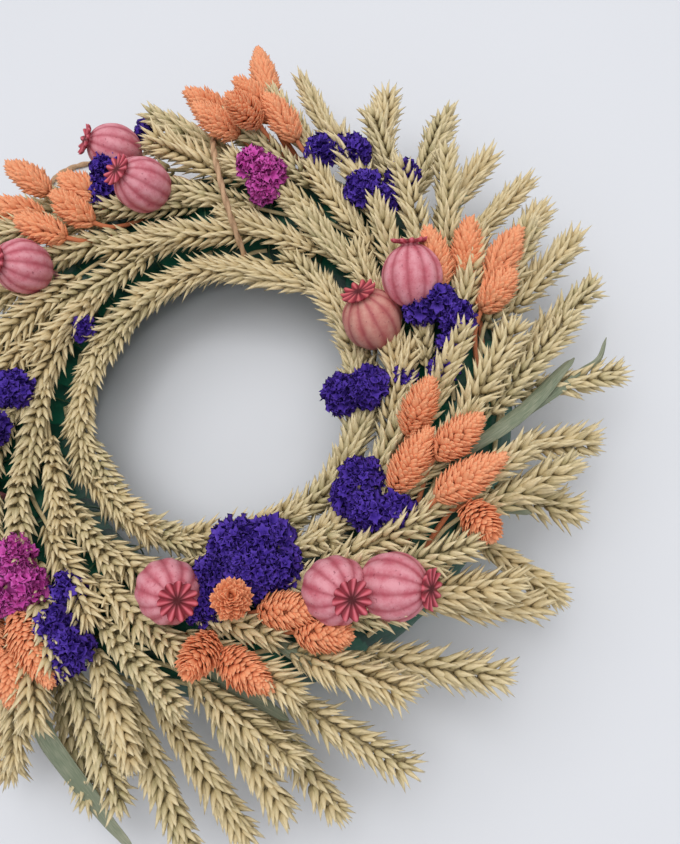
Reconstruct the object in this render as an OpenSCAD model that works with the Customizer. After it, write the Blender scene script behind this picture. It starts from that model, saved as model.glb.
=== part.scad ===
// Dried-flower wreath on a wrapped straw ring, lying on its back.
// The ring's centre is the origin, its flat back is z = 0 and the flowers face +Z.
// The hanging loop is tied near the top, at about +Y.

/* [Straw ring] */
// Diameter of the circle that runs through the middle of the straw tube
ring_d = 240; // [200:5:300]
// Thickness of the straw tube across the wreath
tube_d = 58.4; // [48:0.2:72]
// How much of the tube's round back is cut away so that it sits flat
back_cut = 3; // [2:0.5:6]
// Thickness of the plastic film that is wound round the straw
film_t = 0.8; // [0.5:0.1:2]

/* [Binding wire] */
// Thickness of the binding wire
wire_d = 0.6; // [0.4:0.1:1.2]

/* [Wheat] */
// Thickness of an ear at its widest
ear_d = 12; // [9:0.5:17]
// Thickness of the straw below an ear
straw_d = 2.4; // [1.6:0.1:4]

/* [Canary grass] */
// Thickness of a head at its widest
canary_d = 13; // [10:0.5:18]

/* [Poppy capsules] */
// Diameter of the round body
capsule_d = 29; // [24:1:36]
// Diameter of the rayed crown
crown_d = 18; // [12:1:24]
// Thickness of a poppy stem
poppy_stem_d = 3.2; // [2:0.2:5]

/* [Sea lavender] */
// Thickness of one flowering stem
lavender_stem_d = 2; // [1.4:0.2:4]

/* [Leaves] */
// Thickness of a dried leaf blade
leaf_t = 0.8; // [0.5:0.1:1.5]

/* [Hanger] */
// Thickness of the twisted raffia twine
twine_d = 3.4; // [2.4:0.2:5]
// Place of the twine along the ring, in degrees from +X
hanger_at = 93; // [85:1:100]

/* [Hidden] */
$fn = 64;
CLEAR = 0.2;               // gap between pieces that only touch
SEAT = 0.05;               // gap between a stem's cut end and the film
BUNCH_N = 18;              // bunches of wheat, each bound on with one turn of wire
ring_r = ring_d/2;
core_r = tube_d/2;         // straw
skin_r = core_r + film_t;  // outside of the film
core_z = skin_r - back_cut - film_t;  // height of the tube's middle
STRAW_SIDES = 6;           // sides of a swept ear, head or stem
HEAD_SIDES = 7;            // sides of a sea lavender head
ROOT_STEP = 11;            // degrees along the ring from a stem's root to its ear
ROOT_LOW = 15;             // roots stay on the front half of the tube
BAND_SLANT = 14;           // the twine crosses the tube at this slant
BAND_RISE = 22;            // height of the ears under the twine
WIRE_STEP = 360/BUNCH_N;
WIRE_W = 0.8;
BAND_N = 28;               // points round the twine's turn
KNOT_D = 9;
KNOT_DROP = 14;            // height from the knot up to the tube's middle
CAPSULE_H = 0.53*capsule_d;  // half height of a poppy's body
CROWN_Z = CAPSULE_H + 1.6; // underside of the crown above the body's middle
CROWN_T = 1.4;
NECK_D = 8;                // neck between body and crown
FOOT_H = 2;                // foot of the body that meets the stem
HEAD_WAIST = 0.62;         // rings of a sea lavender head: share of its half height
HEAD_GIRTH = 0.78;         // and their share of its half width

// Rows of wheat and canary grass hold: degrees along the ring, degrees round the tube
// from its outer side, height above the film, degrees turned outwards, length, degrees of rise.

// The outer ears, which fan out past the ring
OUTER = [
    [-11, 36, 5, 68, 48, -8], [-1, 42, 9, 73, 58, -2],
    [6, 38, 8, 48, 66, -2],
    [15, 42, 10, 52, 66, -1], [24, 36, 7, 56, 60, -4],
    [34, 40, 8, 76, 58, -4], [42, 42, 8, 76, 56, -5],
    [50, 38, 8, 68, 70, -4],
    [58, 48, 9, 62, 68, -3], [68, 30, 10, 42, 76, 0],
    [81, 42, 8, 24, 60, 0], [95, 44, 8, 20, 58, -1],
    [107, 42, 8, 20, 46, -1], [117, 38, 8, 25, 60, -1],
    [128, 30, 8, 42, 62, -3], [136, 42, 8, 52, 64, -2], [147, 32, 9, 42, 68, -2],
    [157, 42, 8, 54, 66, -3], [166, 30, 9, 42, 70, -2], [176, 42, 8, 52, 66, -3],
    [185, 30, 9, 42, 70, -2], [196, 42, 8, 52, 66, -3], [205, 30, 9, 42, 70, -2],
    [214, 40, 9, 46, 70, -2], [219, 15, 10, 38, 70, -2],
    [229, 12, 14, 32, 74, -2], [233, 40, 9, 40, 68, 0], [243, 16, 12, 38, 68, -2],
    [246, 42, 9, 36, 76, -1], [258, 40, 9, 50, 84, -3],
    [264, 30, 8, 42, 78, -2], [274, 42, 9, 52, 66, -4], [282, 26, 8, 60, 64, -4],
    [286, 42, 10, 44, 74, -1], [302, 42, 9, 40, 70, -1],
    [316, 40, 8, 44, 58, 0], [331, 32, 8, 94, 48, -6], [340, 46, 6, 82, 48, -10]
];

// The ears that follow the ring, bunch after bunch, in lanes from its crest inwards
LANES = [[62, 9, 34, 64, 8], [86, 8, 20, 66, 13], [108, 8, 5, 66, 12], [130, 9, -8, 64, 9],
    [152, 14, -22, 62, 6]];
LANE_STEP = 5;             // degrees by which each lane runs ahead of the next
JITTER = [3, 4, 6, 5, 3];  // how far a lane's ears stray, column by column after the first
TUCKED = [25, 26];         // numbers of the ears that end short, under the poppies
TUCKED_PART = 0.58;        // share of its length that a tucked ear keeps

// Canary grass heads, one list for each cluster
CANARY_TOP = [[86, 28, 36, 74, 40, 10], [92, 42, 28, 25, 30, 30], [89, 64, 24, 22, 28, 30],
    [83, 48, 27, 36, 30, 34], [76, 62, 22, 38, 28, 34], [84, 64, 30, 0, 24, 64]];
CANARY_LEFT = [[133, 42, 28, 80, 30, 18], [137, 60, 22, 52, 30, 20], [125, 78, 19, 66, 24, 22],
    [129, 92, 18, 62, 26, 30], [137, 92, 22, 60, 28, 22]];
CANARY_UPPER_RIGHT = [[22, 86, 16, 12, 30, 26], [23, 70, 15, 34, 30, 24],
    [20, 58, 18, 50, 32, 20], [15, 66, 15, 56, 24, 22]];
CANARY_RIGHT = [[-16, 112, 14, 12, 30, 36], [-31, 104, 14, 3, 34, 28], [-20, 90, 18, 34, 28, 28],
    [-28, 80, 18, 30, 36, 18], [-26, 64, 18, 115, 22, 30]];
CANARY_BOTTOM = [[-82, 84, 18, 110, 26, 50], [-77, 98, 22, 0, 24, 74], [-72, 92, 18, 14, 30, 14],
    [-81, 76, 19, 38, 30, 14], [-66, 76, 17, 26, 26, 14]];
CANARY_LOWER_LEFT = [[-122, 48, 24, 36, 26, 8], [-124, 66, 22, 18, 40, 6],
    [-130, 52, 22, 28, 34, 8]];

// Sea lavender heads, one list for each spray:
// [degrees along the ring, degrees round the tube, height above the film, width]
LAVENDER_TOP_LEFT = [[110, 30, 34, 13], [120, 58, 24, 17], [124, 72, 20, 17]];
LAVENDER_TOP = [[69, 66, 21, 18], [63, 60, 23, 18], [55, 80, 19, 18], [51, 57, 22, 16],
    [49, 78, 18, 14]];
LAVENDER_RIGHT = [[19, 100, 19, 17], [17, 90, 22, 17], [13, 84, 20, 16], [8, 88, 15, 13],
    [3, 94, 13, 13], [3, 124, 12, 9]];
LAVENDER_INNER_RIGHT = [[-3, 150, 32, 19], [-1, 138, 24, 20]];
LAVENDER_LOWER_RIGHT = [[-32, 122, 20, 19], [-38, 120, 19, 19], [-38, 106, 17, 18],
    [-34, 96, 14, 15]];
LAVENDER_BOTTOM = [[-82, 114, 20, 20], [-75, 130, 24, 25], [-65, 126, 22, 24],
    [-71, 110, 24, 24], [-84, 102, 17, 18], [-64, 110, 20, 20]];
LAVENDER_LOWER_LEFT = [[-115, 72, 20, 17], [-110, 66, 22, 18], [-112, 58, 22, 17],
    [-118, 90, 14, 16]];
LAVENDER_LEFT = [[182, 108, 15, 18], [156, 135, 16, 11], [194, 96, 20, 20]];
PINK_TOP = [[84, 86, 20, 17], [79, 92, 22, 17], [80, 102, 20, 15]];
PINK_LOWER_LEFT = [[-132, 86, 20, 18], [-125, 80, 22, 18], [-127, 70, 22, 17]];

// Poppies: [degrees along the ring, degrees round the tube, height above the film,
//  heading of the crown in degrees from +X, degrees of rise of the crown]
POPPIES = [[117, 45, 30, 185, 42], [113, 90, 25, 190, 62], [150, 86, 25, 215, 60],
    [26, 98, 25, 95, 32], [22, 128, 24, 125, 58], [-92, 105, 25, -30, 50],
    [-55, 84, 26, -30, 52], [-46, 70, 26, -5, 20], [205, 80, 25, 160, 55]];

// Leaf blades as chains of points, then the width at the middle:
// [degrees along the ring, distance outwards from the ring's middle, height]
LEAVES_RIGHT = [
    [[[-18, 6, 58], [-14, 14, 64], [-10, 23, 64], [-6, 32, 62], [-2, 41, 60], [2, 50, 58],
      [5, 59, 56]], 6],
    [[[-12, 20, 58], [-7, 31, 60], [-3, 42, 58], [0, 52, 56], [3, 62, 53], [5, 71, 52],
      [8, 76, 54]], 3]];
LEAF_TOP = [
    [[[38, 20, 50], [41, 36, 54], [43, 50, 52], [45, 64, 49], [47, 78, 45]], 5]];
LEAVES_BOTTOM = [
    [[[-72, 8, 60], [-68, 18, 62], [-64, 28, 61], [-61, 38, 58], [-58, 48, 54]], 7],
    [[[-88, 12, 55], [-84, 20, 56], [-80, 28, 54], [-76, 36, 50], [-73, 44, 46]], 5],
    [[[-26, 8, 58], [-24, 18, 60], [-23, 28, 58], [-22, 38, 54], [-21, 48, 50]], 4]];
LEAF_LONG = [
    [[[-120, 22, 60], [-117, 36, 62], [-114, 50, 58], [-111, 62, 52], [-107, 72, 44],
      [-103, 82, 36], [-100, 92, 28], [-97, 101, 21]], 8]];

// The loop's route in millimetres, from the knot out over the table and back
LOOP = [[-20.5, 157, 11.5], [-34, 162, 5], [-48, 168, 2], [-64, 174, 2], [-80, 180, 2],
    [-96, 185, 2], [-112, 189, 2], [-128, 190, 2], [-142, 187, 2], [-152, 180, 2],
    [-155, 170, 2], [-149, 161, 2], [-138, 155, 2], [-124, 152, 2], [-108, 151, 2],
    [-92, 151, 2], [-76, 151, 2], [-60, 151, 2], [-45, 151, 3], [-32, 152, 6],
    [-21, 153, 9.5]];

// ---- geometry helpers ----

function unit(v) = v/norm(v);

// A point on the tube: angle along the ring, angle round the tube, height above the film
function on_tube(along, around, above) =
    let (r = skin_r + above, reach = ring_r + r*cos(around))
    [reach*cos(along), reach*sin(along), core_z + r*sin(around)];

// A point by angle along the ring, distance outwards from its middle, and height
function polar(p) = [(ring_r + p[1])*cos(p[0]), (ring_r + p[1])*sin(p[0]), p[2]];

// Heading of an ear that is turned outwards from the way round the ring, and raised
function heading(along, turn, rise) =
    [cos(along + 90 - turn)*cos(rise), sin(along + 90 - turn)*cos(rise), sin(rise)];

function bezier(p, t) =
    p[0]*pow(1 - t, 3) + 3*p[1]*pow(1 - t, 2)*t + 3*p[2]*(1 - t)*t*t + p[3]*t*t*t;

// Directions along a chain of points
function chain_dirs(p) = [for (i = [0:len(p) - 1])
    unit(p[min(i + 1, len(p) - 1)] - p[max(i - 1, 0)])];

// A closed round sweep along points p with radii r, pointed at both ends
module sweep(p, r, sides, ref) {
    n = len(p);
    d = chain_dirs(p);
    rings = [for (i = [1:n - 2]) let (a = unit(cross(ref, d[i])), b = cross(d[i], a))
        for (k = [0:sides - 1])
            p[i] + r[i]*(cos(360*k/sides)*a + sin(360*k/sides)*b)];
    last = (n - 3)*sides;
    polyhedron(points = concat(rings, [p[0], p[n - 1]]),
        faces = concat(
            [for (i = [0:n - 4]) for (k = [0:sides - 1])
                let (a = i*sides + k, b = i*sides + (k + 1) % sides)
                each [[a, a + sides, b], [b, a + sides, b + sides]]],
            [for (k = [0:sides - 1]) [(k + 1) % sides, len(rings), k]],
            [for (k = [0:sides - 1]) [last + k, len(rings) + 1, last + (k + 1) % sides]]),
        convexity = 4);
}

// A flat blade along points p, widest at its middle, with its faces towards +Z
module blade(p, w) {
    n = len(p);
    d = chain_dirs(p);
    up = [0, 0, leaf_t/2];
    half = [for (i = [0:n - 1]) w/2*(0.25 + 0.75*sin(180*(i + 0.5)/n))];
    side = [for (i = [0:n - 1]) unit(cross([0, 0, 1], d[i]))*half[i]];
    polyhedron(points = [for (i = [0:n - 1])
            each [p[i] - side[i] - up, p[i] + side[i] - up, p[i] + side[i] + up,
                  p[i] - side[i] + up]],
        faces = concat(
            [for (i = [0:n - 2]) for (k = [0:3])
                let (a = 4*i + k, b = 4*i + (k + 1) % 4)
                each [[a, a + 4, b], [b, a + 4, b + 4]]],
            [[0, 1, 2], [0, 2, 3], [4*n - 4, 4*n - 2, 4*n - 3], [4*n - 4, 4*n - 1, 4*n - 2]]),
        convexity = 4);
}

// The path of a stem from its root on the film up to the foot of its ear or head
function stem_path(row, stem_r, steps) =
    let (root_at = row[0] - ROOT_STEP,
         root = on_tube(root_at, min(max(row[1], ROOT_LOW), 180 - ROOT_LOW), stem_r + SEAT),
         foot = on_tube(row[0], row[1], row[2]),
         pull = 0.3*norm(foot - root),
         ctrl = [root, root + pull*heading(root_at, 0, 0),
                 foot - pull*heading(row[0], row[3], row[5]), foot])
    [for (i = [0:steps]) bezier(ctrl, i/steps)];

// Vertical sprigs take the outward direction as their reference, all others take +Z
function sprig_ref(row) = row[5] > 45 ? [cos(row[0]), sin(row[0]), 0] : [0, 0, 1];

// Girth of an ear or head along its length, as [share of length, share of width]
EAR_SHAPE = [[0.06, 0.62], [0.3, 1], [0.6, 0.95], [0.86, 0.62], [1, 0]];
CANARY_SHAPE = [[0.08, 0.6], [0.35, 1], [0.68, 0.82], [0.9, 0.4], [1, 0]];

// A stem with an ear or a head at its end, made as one piece, as it grows
module sprig(row, width, stem_d, shape) {
    stem = stem_path(row, stem_d/2, 3);
    foot = stem[3];
    go = heading(row[0], row[3], row[5]);
    tail = stem[0] - 0.4*unit(stem[1] - stem[0]);
    sweep(concat([tail], stem, [for (s = shape) foot + s[0]*row[4]*go]),
          concat([0], [for (i = [0:3]) stem_d/2], [for (s = shape) s[1]*width/2]),
          STRAW_SIDES, sprig_ref(row));
}

// A stem with a round flower head, seated on the film
module lavender_sprig(row) {
    half = row[3]/2;
    root = on_tube(row[0], row[1], SEAT);
    centre = on_tube(row[0], row[1], row[2]);
    out = unit(centre - root);
    neck = max(norm(centre - root) - half, 2);
    sweep([root, root + 0.4*out, root + (neck - 0.5)*out,
           centre - HEAD_WAIST*half*out, centre, centre + HEAD_WAIST*half*out, centre + half*out],
          [0, lavender_stem_d/2, lavender_stem_d/2, HEAD_GIRTH*half, half, HEAD_GIRTH*half, 0],
          HEAD_SIDES, [-sin(row[0]), cos(row[0]), 0]);
}

// Half outline of the tube, flat at height "flat" above the table
module tube_section(r, flat, lift = 0) {
    intersection() {
        translate([0, core_z + lift]) circle(r);
        translate([-2*r, flat]) square([4*r, 4*r]);
    }
}

// A groove across the flat back, in which wire or twine lies flush
module back_groove(at, slant, w, depth, reach) {
    rotate(at) translate([ring_r, 0, 0]) rotate(slant)
        translate([-reach, -w/2, -1]) cube([2*reach, w, depth + 1]);
}

module twine_groove() {
    back_groove(hanger_at, BAND_SLANT, twine_d + CLEAR, twine_d + CLEAR, skin_r);
}

// ---- sub-parts ----

module straw_ring() {
    color("khaki") difference() {
        rotate_extrude() translate([ring_r, 0]) tube_section(core_r, film_t);
        twine_groove();
    }
}

// The film, in one length between each wire and the next
module film_wrap() {
    color("darkgreen") difference() {
        rotate_extrude() translate([ring_r, 0]) difference() {
            tube_section(skin_r, 0);
            tube_section(core_r, film_t);
        }
        twine_groove();
        for (i = [0:BUNCH_N - 1]) rotate(i*WIRE_STEP)
            translate([0, -(WIRE_W + CLEAR)/2, -1])
                cube([ring_r + 2*skin_r, WIRE_W + CLEAR, 3*skin_r]);
    }
}

module binding_wires() {
    r = skin_r + (straw_d + wire_d)/2;
    lift = straw_d/2;
    color("darkolivegreen") for (i = [0:BUNCH_N - 1])
        rotate(i*WIRE_STEP) translate([ring_r, WIRE_W/2, 0]) rotate([90, 0, 0])
            linear_extrude(WIRE_W) difference() {
                tube_section(r + wire_d/2, 0, lift);
                tube_section(r - wire_d/2, wire_d, lift);
            }
}

// A steady stray between -1 and 1 for ear number k
function stray(k) = sin(137.5*k)*cos(71.3*k);

// The ears of bunch i that follow the ring, one in each lane
function lane_ears(i) = [for (j = [0:len(LANES) - 1])
    let (k = i*len(LANES) + j, lane = LANES[j],
         part = len(search(k, TUCKED)) > 0 ? TUCKED_PART : 1)
    [i*WIRE_STEP + LANE_STEP*(len(LANES)/2 - j) + JITTER[0]*stray(k),
     each [for (c = [0:4]) (c == 3 ? part : 1)
         *(lane[c] + (c == 1 ? 0 : JITTER[c == 0 ? 1 : c]*stray(7*k + 3*c)))]]];

// The outer ears that are bound on with bunch i
function outer_ears(i) = [for (row = OUTER)
    if (floor((row[0] + 360 + WIRE_STEP/2)/WIRE_STEP) % BUNCH_N == i) row];

module wheat_bunch(i) {
    color("tan") for (row = concat(lane_ears(i), outer_ears(i)))
        sprig(row, ear_d, straw_d, EAR_SHAPE);
}

module canary_grass(rows) {
    color("sandybrown") for (row = rows) sprig(row, canary_d, straw_d, CANARY_SHAPE);
}

module lavender(rows, tint) {
    color(tint) for (row = rows) lavender_sprig(row);
}

// Places a child that stands on the origin along +Z at a poppy's middle
module at_poppy(row) {
    translate(on_tube(row[0], row[1], row[2])) rotate([0, 90 - row[4], row[3]]) children();
}

module poppy(i) {
    color("palevioletred") at_poppy(POPPIES[i]) union() {
        rotate_extrude() intersection() {
            scale([1, CAPSULE_H/(capsule_d/2)]) circle(capsule_d/2);
            translate([0, -capsule_d]) square(2*capsule_d);
        }
        translate([0, 0, CAPSULE_H - 1]) cylinder(d = NECK_D, h = 3);
        translate([0, 0, CROWN_Z]) cylinder(d = crown_d, h = CROWN_T);
        translate([0, 0, -CAPSULE_H - FOOT_H])
            cylinder(d1 = poppy_stem_d, d2 = NECK_D, h = FOOT_H + 1.5);
    }
}

// A poppy's stem leaves the body straight and bends down to the film
module poppy_stem(row) {
    middle = on_tube(row[0], row[1], row[2]);
    back = [-cos(row[3])*cos(row[4]), -sin(row[3])*cos(row[4]), -sin(row[4])];
    top = middle + (CAPSULE_H + FOOT_H + CLEAR)*back;
    off = norm([top[0], top[1]]) - ring_r;
    around = min(max(atan2(top[2] - core_z, off), ROOT_LOW), 180 - ROOT_LOW);
    along = atan2(top[1], top[0]);
    root = on_tube(along, around, poppy_stem_d/2*0.1);
    drop = unit(root - top);
    pull = 0.4*norm(root - top);
    ctrl = [top, top + pull*back, root - pull*drop, root];
    bend = [for (i = [0:5]) bezier(ctrl, i/5)];
    sweep(concat([top - CLEAR/2*back], bend, [root + SEAT*drop]),
          concat([0], [for (q = bend) poppy_stem_d/2], [0]), STRAW_SIDES,
          unit(cross(back, drop)));
}

module poppy_stems() {
    color("rosybrown") for (row = POPPIES) poppy_stem(row);
}

module leaves(rows) {
    color("darkseagreen") for (row = rows) blade([for (q = row[0]) polar(q)], row[1]);
}

// The twine's turn round the tube: over the wheat in front, flush with the back behind
function band_point(k) =
    let (a = 360*k/BAND_N, r = skin_r + twine_d/2 + CLEAR/2 + BAND_RISE*sqrt(max(sin(a), 0)),
         x = r*cos(a), z = max(core_z + r*sin(a), twine_d/2 + CLEAR/2))
    [x, 0, z];

module hanger_band() {
    n = BAND_N;
    p = [for (k = [0:n - 1]) band_point(k)];
    s = 8;
    ring = [for (k = [0:n - 1])
        let (d = unit(p[(k + 1) % n] - p[(k + n - 1) % n]), b = cross(d, [0, 1, 0]))
        for (j = [0:s - 1]) p[k] + twine_d/2*(cos(360*j/s)*b + sin(360*j/s)*[0, 1, 0])];
    color("burlywood") rotate(hanger_at) translate([ring_r, 0, 0]) rotate(BAND_SLANT)
        polyhedron(points = ring, faces = [for (k = [0:n - 1]) for (j = [0:s - 1])
            let (a = k*s + j, b = k*s + (j + 1) % s, c = ((k + 1) % n)*s)
            each [[a, b, c + j], [b, c + (j + 1) % s, c + j]]], convexity = 6);
}

// The knot lies against the outside of the band
module hanger_knot() {
    reach = skin_r + twine_d + CLEAR + KNOT_D/2;
    out = sqrt(reach*reach - KNOT_DROP*KNOT_DROP);
    color("burlywood") rotate(hanger_at) translate([ring_r, 0, 0]) rotate(BAND_SLANT)
        translate([out, 0, core_z - KNOT_DROP]) sphere(d = KNOT_D);
}

module hanging_loop() {
    tail_a = LOOP[0] + 0.5*unit(LOOP[0] - LOOP[1]);
    last = len(LOOP) - 1;
    tail_b = LOOP[last] + 0.5*unit(LOOP[last] - LOOP[last - 1]);
    color("burlywood") sweep(concat([tail_a], LOOP, [tail_b]),
        concat([0], [for (q = LOOP) twine_d/2], [0]), 8, [0, 0, 1]);
}

straw_ring();
film_wrap();
binding_wires();
wheat_bunch(0);  // wheat_bunch_01
wheat_bunch(1);  // wheat_bunch_02
wheat_bunch(2);  // wheat_bunch_03
wheat_bunch(3);  // wheat_bunch_04
wheat_bunch(4);  // wheat_bunch_05
wheat_bunch(5);  // wheat_bunch_06
wheat_bunch(6);  // wheat_bunch_07
wheat_bunch(7);  // wheat_bunch_08
wheat_bunch(8);  // wheat_bunch_09
wheat_bunch(9);  // wheat_bunch_10
wheat_bunch(10);  // wheat_bunch_11
wheat_bunch(11);  // wheat_bunch_12
wheat_bunch(12);  // wheat_bunch_13
wheat_bunch(13);  // wheat_bunch_14
wheat_bunch(14);  // wheat_bunch_15
wheat_bunch(15);  // wheat_bunch_16
wheat_bunch(16);  // wheat_bunch_17
wheat_bunch(17);  // wheat_bunch_18
poppy(0);  // poppy_1
poppy(1);  // poppy_2
poppy(2);  // poppy_3
poppy(3);  // poppy_4
poppy(4);  // poppy_5
poppy(5);  // poppy_6
poppy(6);  // poppy_7
poppy(7);  // poppy_8
poppy(8);  // poppy_9
poppy_stems();
canary_grass(CANARY_TOP);  // canary_grass_top
canary_grass(CANARY_LEFT);  // canary_grass_left
canary_grass(CANARY_UPPER_RIGHT);  // canary_grass_upper_right
canary_grass(CANARY_RIGHT);  // canary_grass_right
canary_grass(CANARY_BOTTOM);  // canary_grass_bottom
canary_grass(CANARY_LOWER_LEFT);  // canary_grass_lower_left
lavender(LAVENDER_TOP_LEFT, "indigo");  // lavender_top_left
lavender(LAVENDER_TOP, "indigo");  // lavender_top
lavender(LAVENDER_RIGHT, "indigo");  // lavender_right
lavender(LAVENDER_INNER_RIGHT, "indigo");  // lavender_inner_right
lavender(LAVENDER_LOWER_RIGHT, "indigo");  // lavender_lower_right
lavender(LAVENDER_BOTTOM, "indigo");  // lavender_bottom
lavender(LAVENDER_LOWER_LEFT, "indigo");  // lavender_lower_left
lavender(LAVENDER_LEFT, "indigo");  // lavender_left
lavender(PINK_TOP, "mediumvioletred");  // pink_lavender_top
lavender(PINK_LOWER_LEFT, "mediumvioletred");  // pink_lavender_lower_left
leaves(LEAVES_RIGHT);  // leaves_right
leaves(LEAF_TOP);  // leaf_top
leaves(LEAVES_BOTTOM);  // leaves_bottom
leaves(LEAF_LONG);  // leaf_long
hanger_band();
hanger_knot();
hanging_loop();
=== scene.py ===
"""A dried-flower wreath: wheat, canary grass, poppy capsules and sea lavender on a straw ring.

Every ear, head and stem grows along the line of its own plain CAD solid. Lengths are in metres.
"""

import bmesh
import bpy
import numpy as np
from bpy.props import FloatProperty, FloatVectorProperty, IntProperty, PointerProperty
from mathutils import Matrix, Vector


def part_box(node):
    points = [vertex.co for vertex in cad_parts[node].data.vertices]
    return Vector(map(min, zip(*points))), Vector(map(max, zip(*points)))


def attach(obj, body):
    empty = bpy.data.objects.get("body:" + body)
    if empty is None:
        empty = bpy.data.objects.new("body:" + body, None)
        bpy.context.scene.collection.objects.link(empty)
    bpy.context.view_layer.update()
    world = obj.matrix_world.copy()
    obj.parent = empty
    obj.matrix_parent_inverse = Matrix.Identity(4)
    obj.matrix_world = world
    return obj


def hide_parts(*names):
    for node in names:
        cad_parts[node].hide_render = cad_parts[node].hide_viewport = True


bl_info = {
    "name": "Dried-flower wreath",
    "version": (1, 0, 0),
    "blender": (4, 5, 0),
    "location": "3D View > Sidebar > Wreath",
    "description": "Builds a wreath of dried wheat and dyed flowers round its CAD frame",
    "category": "Add Mesh",
}

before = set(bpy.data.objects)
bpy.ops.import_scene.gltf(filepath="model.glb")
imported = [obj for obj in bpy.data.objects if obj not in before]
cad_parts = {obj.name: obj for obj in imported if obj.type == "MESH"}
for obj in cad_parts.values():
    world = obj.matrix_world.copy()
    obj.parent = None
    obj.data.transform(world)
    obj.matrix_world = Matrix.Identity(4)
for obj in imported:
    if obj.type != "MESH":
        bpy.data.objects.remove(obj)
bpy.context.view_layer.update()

MM = 0.001
GOLDEN = np.radians(137.508)
UP = np.array([0.0, 0.0, 1.0])
MERGE = 1e-5  # loose corners closer than this are one point
TAIL_STEPS = 5  # the first points of a sprig's line are its straw, the rest its ear
# The husks of a spikelet: place across the fan, tilt from the axis, place up the fan, share of length
SPIKELET = ((-2.7, 14, 0, 0.86), (2.7, 14, 0, 0.86), (-1.4, 30, 0.08, 1), (1.4, 30, 0.08, 1),
            (0, 42, 0.2, 1))
CROWN_TIPS = 4  # husks round an ear's very tip
TWIST_CORE, TWIST_HUMP = 0.68, 0.36  # girth of twisted twine between strands, and a strand's height
BAND_SIDES = 8  # corners round the CAD twine at each of its stations
BAND_FINE = 20  # points between two stations of the band's line
BAND_SKIP = 4  # every fourth of them becomes a ring of the twine
# The hanging loop's route, from the knot out over the table and back, in millimetres
LOOP = np.array([(-20.5, 157, 11.5), (-34, 162, 5), (-48, 168, 2), (-64, 174, 2), (-80, 180, 2),
                 (-96, 185, 2), (-112, 189, 2), (-128, 190, 2), (-142, 187, 2), (-152, 180, 2),
                 (-155, 170, 2), (-149, 161, 2), (-138, 155, 2), (-124, 152, 2), (-108, 151, 2),
                 (-92, 151, 2), (-76, 151, 2), (-60, 151, 2), (-45, 151, 3), (-32, 152, 6),
                 (-21, 153, 9.5)]) / 1000


def size(name, text, default, **more):
    """A length that a user can change, shown in the scene's unit."""
    return FloatProperty(name=name, description=text, default=default, unit="LENGTH",
                         precision=4, min=0, **more)


def tint(name, text, default):
    """A colour that a user can change."""
    return FloatVectorProperty(name=name, description=text, default=default,
                               subtype="COLOR", min=0, max=1)


# ---- sizes and colours ----

class WheatSettings(bpy.types.PropertyGroup):
    pitch: size("Pitch", "Distance along the ear from one spikelet to the next", 2.6 * MM)
    husk_length: size("Husk length", "Length of a husk without its point", 9.6 * MM)
    husk_width: size("Husk width", "Width of a husk", 3.8 * MM)
    husk_depth: size("Husk depth", "Thickness of a husk", 2.6 * MM)
    straw: size("Straw", "Thickness of the straw below the ear", 2.4 * MM)
    ripe: tint("Ripe", "Colour of the ripest husks", (0.60, 0.445, 0.215))
    green: tint("Green", "Colour of the greenest husks", (0.31, 0.28, 0.13))
    pale: tint("Pale", "Colour of the husks' dry edges and points", (0.80, 0.665, 0.41))
    # Painted shade: the colour laid deep between the husks, at their feet, where shade falls.
    shadow: tint("Hollow", "Colour deep between the husks", (0.15, 0.105, 0.045))


class CanarySettings(bpy.types.PropertyGroup):
    bracts: IntProperty(name="Bracts", description="Bracts on a head of 30 mm", default=250, min=20)
    bract_length: size("Bract length", "Length of a bract", 7.0 * MM)
    bract_width: size("Bract width", "Width of a bract", 4.0 * MM)
    bract_depth: size("Bract depth", "Thickness of a bract", 0.8 * MM)
    dye: tint("Dye", "Colour of the dyed bracts", (0.80, 0.235, 0.085))
    pale: tint("Pale", "Colour of the bracts' edges", (0.93, 0.43, 0.23))
    # Painted shade: the colour laid deep between the bracts, at their feet.
    deep: tint("Deep", "Colour deep between the bracts", (0.36, 0.06, 0.018))


class LavenderSettings(bpy.types.PropertyGroup):
    floret: size("Floret", "Half width of a papery floret", 2.9 * MM)
    floret_height: size("Floret height", "Height of a floret", 3.6 * MM)
    spacing: size("Spacing", "Distance between florets", 3.0 * MM)
    sink: size("Sink", "How far the twigs' core lies inside the florets", 2.4 * MM)
    violet: tint("Violet", "Colour of the violet florets", (0.048, 0.016, 0.27))
    violet_pale: tint("Pale violet", "Colour of the violet florets' edges", (0.13, 0.065, 0.47))
    pink: tint("Magenta", "Colour of the magenta florets", (0.52, 0.045, 0.33))
    pink_pale: tint("Pale magenta", "Colour of the magenta florets' edges", (0.75, 0.17, 0.55))
    twig: tint("Twig", "Colour of the twigs", (0.22, 0.17, 0.08))


class PoppySettings(bpy.types.PropertyGroup):
    ribs: IntProperty(name="Ribs", description="Ribs on a capsule and rays on its crown", default=11)
    rib_depth: size("Rib depth", "Height of the ribs on the body", 0.32 * MM)
    bloom: tint("Bloom", "Colour of the powdery skin on the ribs", (0.70, 0.30, 0.345))
    dye: tint("Dye", "Colour of the dyed skin between the ribs", (0.52, 0.115, 0.155))
    crown: tint("Crown", "Colour of the crown's rays", (0.60, 0.055, 0.09))
    dusky: tint("Dusky dye", "Colour of the faded capsule's skin between the ribs", (0.47, 0.13, 0.12))
    dusky_bloom: tint("Dusky bloom", "Colour of the faded capsule's ribs", (0.60, 0.29, 0.24))


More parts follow.
